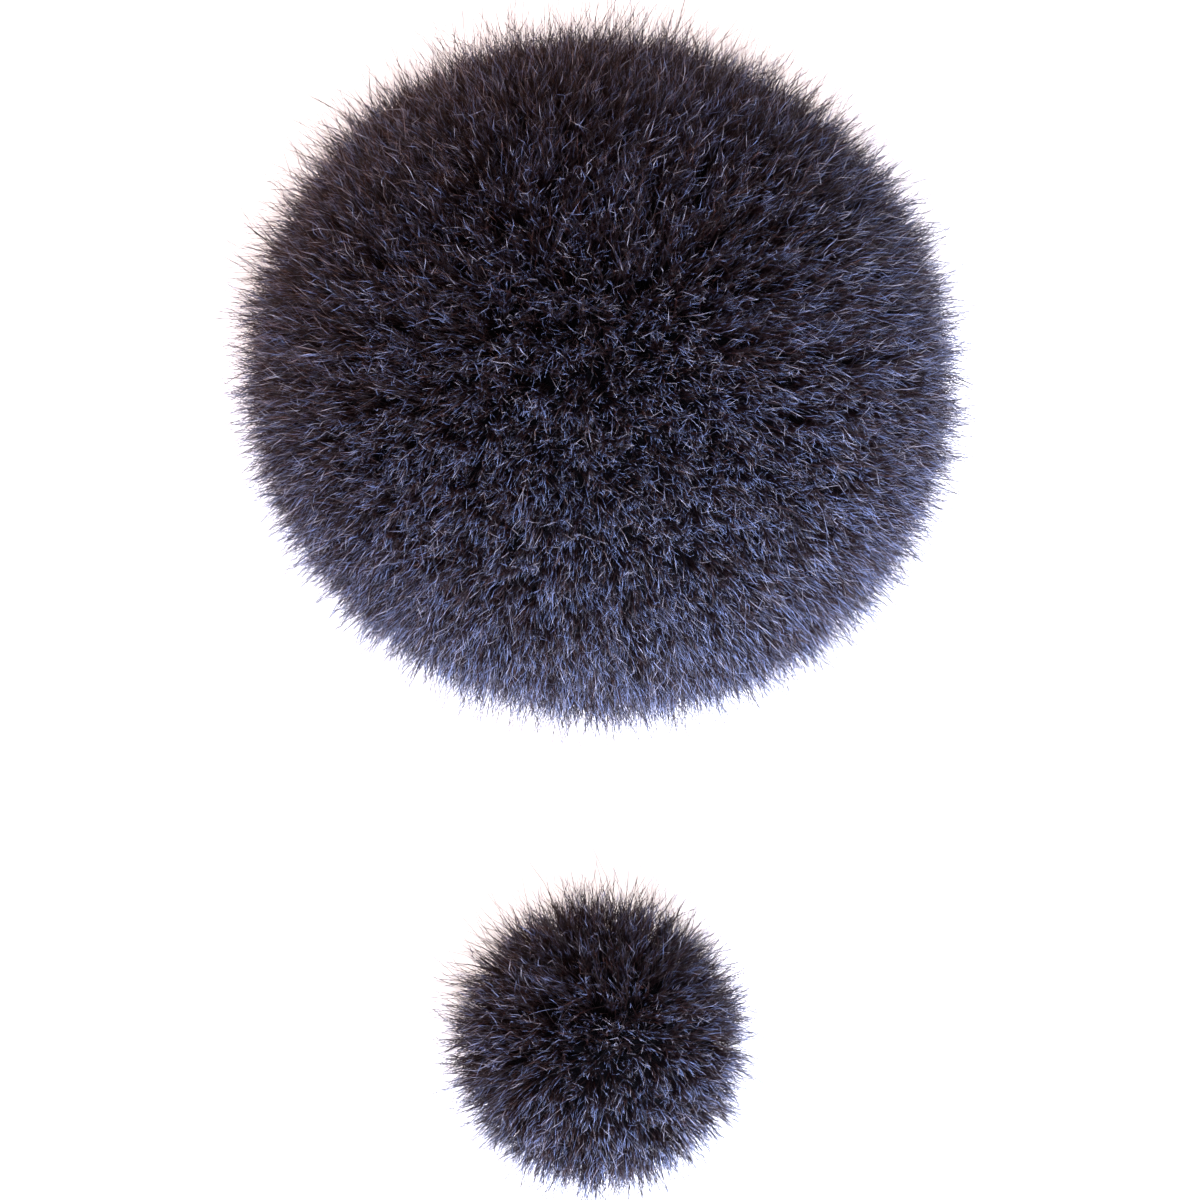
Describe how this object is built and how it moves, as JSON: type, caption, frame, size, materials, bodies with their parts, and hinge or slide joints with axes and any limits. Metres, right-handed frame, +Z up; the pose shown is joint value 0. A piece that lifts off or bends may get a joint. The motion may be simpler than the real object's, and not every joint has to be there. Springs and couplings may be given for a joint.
{
  "type": "furry windscreen pair",
  "caption": "Short-pile furry ball windscreens for microphones, one large and one small, each a slip-on sewn fur cover over a foam core with a gripping collar.",
  "frame": {"origin": "under the middle of the pair's box, on the surface that the two mouths stand on", "axes": "+Z up along both windscreens' upright axes, from the mouths to the crowns; +Y from the small windscreen to the large one; +X to the right seen from above with +Y up the page"},
  "size_m": [0.0678, 0.116, 0.05],
  "materials": {
    "fur": "short acrylic pile on a knitted backing, black with slate-blue tips and brown undertone",
    "tape": "black knitted binding tape",
    "elastic": "black covered round elastic",
    "foam": "charcoal open-cell foam",
    "rubber": "black moulded rubber, satin",
    "plastic": "black moulded plastic, fine texture"
  },
  "bodies": {
    "large_core": {"large_foam_core": "foam", "large_mouth_ring": "plastic", "large_grip_collar": "rubber"},
    "large_cover": {"large_fur_gore_1": "fur", "large_fur_gore_2": "fur", "large_fur_gore_3": "fur", "large_fur_gore_4": "fur", "large_hem_binding": "tape", "large_hem_elastic": "elastic"},
    "small_core": {"small_foam_core": "foam", "small_grip_collar": "rubber"},
    "small_cover": {"small_fur_gore_1": "fur", "small_fur_gore_2": "fur", "small_hem_binding": "tape", "small_hem_elastic": "elastic"}
  },
  "joints": [
    {"name": "large_cover_slide", "type": "slide", "parent": "large_core", "child": "large_cover", "axis": [0, 0, 1], "range_m": [0, 0.045]},
    {"name": "small_lift", "type": "slide", "parent": "large_core", "child": "small_core", "axis": [0, 0, 1], "range_m": [0, 0.03]},
    {"name": "small_cover_slide", "type": "slide", "parent": "small_core", "child": "small_cover", "axis": [0, 0, 1], "range_m": [0, 0.016]}
  ]
}
